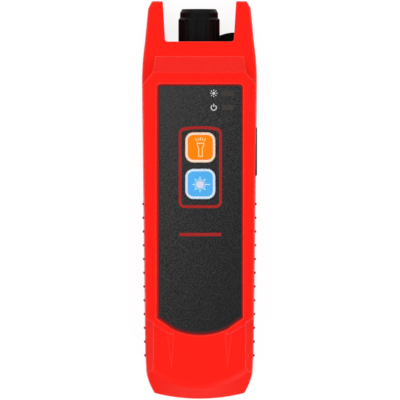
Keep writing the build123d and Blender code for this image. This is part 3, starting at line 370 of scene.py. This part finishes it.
looks = {
    "front_shell": red,
    "rear_shell": red,
    "case_seal": moulded("seal_rubber", (0.012, 0.012, 0.012), 0.6),
    "case_screws": metal("screw_steel", (0.33, 0.33, 0.34), 0.35),
    "board_screws": metal("small_screw_steel", (0.55, 0.54, 0.52), 0.3),
    "panel_film": film,
    "red_print": printed("ink_red", RING_RED, 0.5),
    "torch_key": moulded("key_warm", ORANGE_RIM, 0.35, drift=0.03, specular=0.3, edge=KEY_EDGE),
    "laser_key": moulded("key_cool", BLUE_RIM, 0.35, drift=0.03, specular=0.3, edge=KEY_EDGE),
    "torch_plate": moulded("key_orange", KEY_ORANGE, 0.3, drift=0.04, specular=0.1),
    "laser_plate": moulded("key_blue", KEY_BLUE, 0.3, drift=0.04, specular=0.1),
    "torch_plunger": moulded("plunger_black", (0.018, 0.018, 0.019), 0.4),
    "laser_plunger": moulded("plunger_black_two", (0.018, 0.018, 0.019), 0.4),
    "tact_switches": metal("switch_steel", (0.62, 0.61, 0.6), 0.3, (1, 0.1, 1)),
    "control_board": board,
    "indicator_leds": moulded("led_cream", (0.75, 0.72, 0.6), 0.35),
    "light_guide": clear("guide_clear", (0.9, 0.92, 0.94), 0.2, 0.8),
    "control_chip": moulded("chip_black", (0.02, 0.02, 0.021), 0.55),
    "lead_sockets": moulded("socket_cream", (0.72, 0.68, 0.55), 0.45),
    "usb_socket": metal("socket_steel", (0.6, 0.6, 0.6), 0.28, (0.15, 1, 1)),
    "port_flap": moulded("flap_rubber", (0.014, 0.009, 0.009), 0.55, drift=0.15),
    "port_deck": moulded("deck_black", (0.02, 0.02, 0.021), 0.5),
    "adapter_barrel": barrel,
    "barrel_nut": metal("nut_nickel", (0.62, 0.6, 0.56), 0.3),
    "ferrule_sleeve": moulded("sleeve_ceramic", (0.82, 0.81, 0.77), 0.2, depth=0.002 * MM, drift=0.02),
    "laser_tube": metal("tube_brass", (0.70, 0.48, 0.20), 0.3, (0.2, 3, 0.2)),
    "coupling_lens": clear("lens_glass", (0.95, 0.97, 0.98), 0.03, 1.0),
    "laser_diode": metal("diode_gold", (0.85, 0.62, 0.25), 0.25),
    "dust_cap": rubber,
    "torch_lamp": clear("lamp_clear", (0.96, 0.97, 1.0), 0.06, 0.9),
    "battery_cell": moulded("cell_sleeve", (0.03, 0.16, 0.32), 0.3, drift=0.06),
    "cell_tabs": metal("tab_nickel", (0.66, 0.63, 0.57), 0.3, (1, 0.1, 1)),
    "foam_pad": moulded("foam_grey", (0.10, 0.10, 0.105), 0.9, grain=0.5 * MM, depth=0.12 * MM),
    "laser_leads": moulded("wire_red", (0.5, 0.02, 0.015), 0.4),
    "torch_leads": moulded("wire_white", (0.7, 0.7, 0.68), 0.4),
    "battery_leads": moulded("wire_black", (0.02, 0.02, 0.02), 0.4),
}
for node, look in looks.items():
    for material_slot in nodes[node].material_slots:
        material_slot.material = look.material


# Soft rubber pieces, rebuilt as smooth skins

def softened(node, name, look, cell):
    """The node's own form as one smooth rubber skin, fine enough to bend."""
    piece = bpy.data.objects.new(name, nodes[node].data.copy())
    bpy.context.scene.collection.objects.link(piece)
    remesh = piece.modifiers.new("skin", "REMESH")
    remesh.mode = "VOXEL"
    remesh.voxel_size = cell
    smooth = piece.modifiers.new("soft", "SMOOTH")
    smooth.factor = 0.5
    smooth.iterations = 3
    final = bpy.data.meshes.new_from_object(piece.evaluated_get(bpy.context.evaluated_depsgraph_get()))
    piece.modifiers.clear()
    piece.data = final
    final.polygons.foreach_set("use_smooth", [True] * len(final.polygons))
    final.materials.clear()
    final.materials.append(look.material)
    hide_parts(node)
    return piece


strap = softened("cap_strap", "strap_skin", rubber, STRAP_CELL)
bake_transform(strap)

tail = softened("flap_tail", "tail_skin", looks["port_flap"], WEB_CELL)
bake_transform(tail)


# Thin printed marks and linings, each closed

def settled(mesh, name, look, body):
    """The finished mesh as a piece that rides on its body."""
    bmesh.ops.recalc_face_normals(mesh, faces=mesh.faces)
    data = bpy.data.meshes.new(name)
    mesh.to_mesh(data)
    mesh.free()
    data.materials.append(look.material)
    piece = bpy.data.objects.new(name, data)
    bpy.context.scene.collection.objects.link(piece)
    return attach(piece, body)


def joined(mesh, first, second):
    """Faces between two rings of the same number of points."""
    count = len(first)
    for i in range(count):
        j = (i + 1) % count
        mesh.faces.new((first[i], first[j], second[j], second[i]))


def plate(name, outlines, z, look, body):
    """Closed outlines, each a loop of plan points or a pair of loops for a band, as thin plates."""
    mesh = bmesh.new()
    for loops in outlines:
        rings = []
        for loop in loops:
            lower = [mesh.verts.new((x, y, z)) for x, y in loop]
            upper = [mesh.verts.new((x, y, z + MARK_THICK)) for x, y in loop]
            rings.append((lower, upper))
        for lower, upper in rings:
            joined(mesh, lower, upper)
        if len(rings) == 1:
            mesh.faces.new(rings[0][1])
            mesh.faces.new(list(reversed(rings[0][0])))
        else:
            for level in (0, 1):
                joined(mesh, rings[0][level], rings[1][level])
    return settled(mesh, name, look, body)


def offset_loop(points, distance):
    """A closed loop moved sideways by distance, mitred at its corners."""
    moved = []
    for i, point in enumerate(points):
        before = Vector(points[i - 1])
        here = Vector(point)
        after = Vector(points[(i + 1) % len(points)])
        first = (here - before).normalized()
        second = (after - here).normalized()
        normals = Vector((-first.y, first.x)), Vector((-second.y, second.x))
        mitre = (normals[0] + normals[1]).normalized()
        moved.append(tuple(here + mitre * distance / max(0.35, mitre.dot(normals[0]))))
    return moved


def band(points, width):
    """A closed line of even width."""
    return [offset_loop(points, width / 2), offset_loop(points, -width / 2)]


def stroke(start, end, width, end_width=None):
    """A straight line with square ends, which may taper."""
    a, b = Vector(start), Vector(end)
    along = (b - a).normalized()
    side = Vector((-along.y, along.x)) / 2
    end_width = width if end_width is None else end_width
    corners = (a + side * width, a - side * width, b - side * end_width, b + side * end_width)
    return [[tuple(c) for c in corners]]


def disc(centre, radius, count=32):
    turns = [2 * math.pi * i / count for i in range(count)]
    x, y = centre
    return [[(x + radius * math.cos(turn), y + radius * math.sin(turn)) for turn in turns]]


def shifted(points, centre):
    """Points in millimetres about a centre in metres."""
    return [(centre[0] + x * MM, centre[1] + y * MM) for x, y in points]


def key_centre(node):
    low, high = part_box(node)
    return (low.x + high.x) / 2, (low.y + high.y) / 2


# Torch sign on the orange key: rays, head and handle
torch_x, torch_y = key_centre("torch_key")
torch_at = (torch_x, torch_y - TORCH_DROP)
torch_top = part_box("torch_key")[1].z + MARK_LIFT
head_loop = [(-1.08, 0.93), (-1.08, 1.69), (1.26, 1.69), (1.26, 0.93)]
handle_loop = [(0.72, -0.1), (0.72, -3.12), (-0.58, -3.12), (-0.58, -0.1)]
torch_sign = [band(shifted(head_loop + handle_loop, torch_at), TORCH_LINE)]
for foot, tip in (
    ((-1.1, 2.4), (-1.85, 3.4)),
    ((-0.5, 2.7), (-0.78, 3.65)),
    ((0.09, 2.75), (0.09, 3.9)),
    ((0.68, 2.7), (0.96, 3.65)),
    ((1.28, 2.4), (2.03, 3.4)),
):
    torch_sign.append(stroke(*shifted([foot, tip], torch_at), TORCH_LINE * 0.9))
torch_ink = printed("ink_orange", ORANGE_LINE)
plate("torch_sign", torch_sign, torch_top, torch_ink, "torch_button")

# Light burst on the blue key: a disc with eight long rays, one of them longest, and eight short ones
burst_x, burst_y = key_centre("laser_key")
burst_at = (burst_x + BURST_SHIFT[0], burst_y + BURST_SHIFT[1])
burst_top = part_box("laser_key")[1].z + MARK_LIFT
rays = []
for step in range(16):
    turn = math.radians(22.5 * step)
    reach, width = (SHORT_RAY_REACH, SHORT_RAY_WIDTH) if step % 2 else (LONG_RAY_REACH, LONG_RAY_WIDTH)
    if step == 0:
        reach = LONGEST_REACH
    ends = [(math.cos(turn) * r, math.sin(turn) * r) for r in (RAY_START, reach)]
    rays.append(stroke(*shifted(ends, burst_at), width * MM, width * RAY_TAPER * MM))
plate("burst_rays", rays, burst_top, printed("ink_blue", BLUE_LINE), "laser_button")
burst_disc = [disc(burst_at, BURST_DISC)]
plate("burst_disc", burst_disc, burst_top, printed("ink_lilac", BURST_CORE), "laser_button")

# Tinted windows in the film in front of the indicator lights: two bars and four dots
film_low, film_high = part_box("panel_film")
film_top = film_high.z
windows = []
for x, y, half_y in BARS:
    west, east, south, north = x - BAR_HALF_X, x + BAR_HALF_X, y - half_y, y + half_y
    windows.append([[(west, south), (east, south), (east, north), (west, north)]])
for x in DOT_COLUMNS:
    windows.append(disc((x, DOT_Y), DOT_RADIUS, 20))
window_z = film_top - MARK_THICK / 2
plate("light_windows", windows, window_z, printed("window_tint", LIGHT_WINDOW), "case")

# Signs beside the two bars: a small sun and a switch sign
sun_at = (SIGN_X, SIGN_ROWS[0])
switch_at = (SIGN_X, SIGN_ROWS[1])
signs = [disc(sun_at, SUN_DISC * MM, 24)]
for step in range(8):
    turn = math.radians(45 * step)
    ends = [(math.cos(turn) * r, math.sin(turn) * r) for r in SUN_RAY]
    signs.append(stroke(*shifted(ends, sun_at), SIGN_LINE * 0.9))
arc = []
for radius, order in zip(SWITCH_RING, (1, -1)):
    turns = [math.radians(-235 + 290 * step / 28) for step in range(29)][::order]
    arc += [(math.cos(turn) * radius, math.sin(turn) * radius) for turn in turns]
signs.append([shifted(arc, switch_at)])
signs.append(stroke(*shifted([(0, y) for y in SWITCH_STROKE], switch_at), SIGN_LINE))
plate("light_signs", signs, film_top + MARK_LIFT, printed("ink_pale", MARK_PALE), "case")


# Painted shade round the film: a darker red ring in the gap at the recess floor, and a dark band along
# the film's rim standing in for the shaded recess wall

def label_loop(middle_x, shrink, steps=24):
    """The label field's outline, counter-clockwise from its upper right corner."""
    knee_x, knee_y = FIELD_KNEE
    rise = knee_y - FIELD_LOW
    radius = (knee_x**2 + rise**2) / (2 * rise)
    corner_x, corner_y = FIELD_HALF - FIELD_CORNER, FIELD_TOP - FIELD_CORNER
    loop = []
    for turn in range(0, 91, 15):
        lean = math.radians(turn)
        loop.append((corner_x + FIELD_CORNER * math.cos(lean), corner_y + FIELD_CORNER * math.sin(lean)))
    loop += [(-x, y) for x, y in reversed(loop)]
    loop += [(-FIELD_HALF, FIELD_SIDE_END), (-knee_x, knee_y)]
    swing = math.asin(knee_x / radius)
    for step in range(1, steps):
        lean = swing * (2 * step / steps - 1)
        loop.append((radius * math.sin(lean), FIELD_LOW + radius - radius * math.cos(lean)))
    loop += [FIELD_KNEE, (FIELD_HALF, FIELD_SIDE_END)]
    return [(x + middle_x, y) for x, y in offset_loop(loop, shrink)]


def gutter(name, rings, look, body):
    """A closed ring of plates through four loops, each a pair of plan points and a height."""
    mesh = bmesh.new()
    levels = [[mesh.verts.new((x, y, z)) for x, y in loop] for loop, z in rings]
    for first, second in zip(levels, levels[1:] + levels[:1]):
        joined(mesh, first, second)
    return settled(mesh, name, look, body)


bed_low = film_low.z + BED_CLEAR
bed_high = film_high.z - BED_CLEAR
# Painted shade: a darker red ring in the gap between film and recess wall, where the recess floor lies
# in shade.
gutter(
    "label_gap_shade",
    [
        (label_loop(RECESS_X, BED_OUTER_LOW), bed_low),
        (label_loop(RECESS_X, BED_OUTER_HIGH), bed_high),
        (label_loop(FILM_X, BED_INNER), bed_high),
        (label_loop(FILM_X, BED_INNER), bed_low),
    ],
    moulded("gap_shade_maroon", GAP_SHADE_RED, 0.6, specular=0.1),
    "case",
)
# Painted shade: a dark maroon band laid on the film's rim, standing in for the shade on the steep recess
# wall; wider at the foot.
border_in = [
    (x, y + BORDER_FOOT if y < BORDER_TURN_Y else y) for x, y in label_loop(FILM_X, BORDER_INNER)
]
plate(
    "label_rim_shade",
    [(label_loop(FILM_X, BORDER_OUTER), border_in)],
    film_top + MARK_LIFT,
    printed("rim_shade_maroon", RIM_SHADE_RED),
    "case",
)


# Floor, light and camera

floor_mesh = bmesh.new()
bmesh.ops.create_grid(floor_mesh, x_segments=8, y_segments=8, size=FLOOR_HALF)
floor_data = bpy.data.meshes.new("floor")
floor_mesh.to_mesh(floor_data)
floor_mesh.free()
floor = bpy.data.objects.new("floor", floor_data)
bpy.context.scene.collection.objects.link(floor)

paper = Look("paper", (FLOOR_WHITE,) * 3, 0.9, specular=0.0)
seen = paper.add("ShaderNodeLightPath")
seen_or_mirrored = paper.math("MAXIMUM", seen.outputs["Is Camera Ray"], seen.outputs["Is Glossy Ray"])
seen_anyhow = paper.math("MAXIMUM", seen_or_mirrored, seen.outputs["Is Transmission Ray"])
paper.set("Emission Color", (1, 1, 1, 1))
paper.link(paper.math("MULTIPLY", seen_anyhow, FLOOR_LIFT), paper.shader.inputs["Emission Strength"])
floor_data.materials.append(paper.material)

sky = bpy.data.worlds.new("sky")
bpy.context.scene.world = sky
sky.use_nodes = True
sky_nodes, sky_links = sky.node_tree.nodes, sky.node_tree.links
background = sky_nodes["Background"]
background.inputs["Color"].default_value = (1, 1, 1, 1)
sky_path = sky_nodes.new("ShaderNodeLightPath")
sky_place = sky_nodes.new("ShaderNodeTexCoord")
sky_split = sky_nodes.new("ShaderNodeSeparateXYZ")
sky_links.new(sky_place.outputs["Generated"], sky_split.inputs[0])
sky_glow = sky_nodes.new("ShaderNodeMapRange")
for socket, number in zip(RANGE_SOCKETS, (0.0, SKY_RISE, SKY_LOW, SKY_HIGH)):
    sky_glow.inputs[socket].default_value = number
sky_links.new(sky_split.outputs["Z"], sky_glow.inputs["Value"])
sky_level = sky_nodes.new("ShaderNodeMapRange")
sky_links.new(sky_path.outputs["Is Camera Ray"], sky_level.inputs["Value"])
sky_links.new(sky_glow.outputs["Result"], sky_level.inputs["To Min"])
sky_level.inputs["To Max"].default_value = 1.0
sky_links.new(sky_level.outputs["Result"], background.inputs["Strength"])


def softbox(name, place, size, power):
    lamp = bpy.data.lights.new(name, "AREA")
    lamp.shape = "RECTANGLE"
    lamp.size, lamp.size_y = size
    lamp.energy = power
    holder = bpy.data.objects.new(name, lamp)
    bpy.context.scene.collection.objects.link(holder)
    holder.location = place
    holder.rotation_euler = (-Vector(place)).to_track_quat("-Z", "Y").to_euler()


# Each lamp's place and size in metres, and its power in watts
softbox("key_light", (-0.60, 0.80, 1.00), (0.8, 0.6), 5.0)
softbox("fill_light", (0.65, -0.85, 0.90), (0.9, 0.7), 5.0)
softbox("left_light", (-0.80, -0.70, 1.00), (0.6, 0.6), 2.3)
softbox("right_light", (0.80, 0.70, 1.00), (0.6, 0.6), 2.8)
softbox("top_light", (0.0, 1.2, 0.45), (0.9, 0.4), 1.8)
softbox("foot_light", (0.0, -1.2, 0.2), (0.9, 0.3), 2.5)
softbox("left_edge_light", (-1.2, -0.2, 0.5), (0.9, 0.4), 2.6)
softbox("right_edge_light", (1.2, -0.2, 0.5), (0.9, 0.4), 2.6)

camera_data = bpy.data.cameras.new("camera")
camera_data.sensor_width = SENSOR
camera_data.lens = SENSOR * (CAMERA_HEIGHT - FOCUS_Z) / PHOTO_SPAN
camera_data.clip_end = 20
camera = bpy.data.objects.new("camera", camera_data)
camera.location = (CAMERA_X, 0, CAMERA_HEIGHT)
bpy.context.scene.collection.objects.link(camera)
bpy.context.scene.camera = camera
bpy.context.scene.view_settings.view_transform = "Standard"
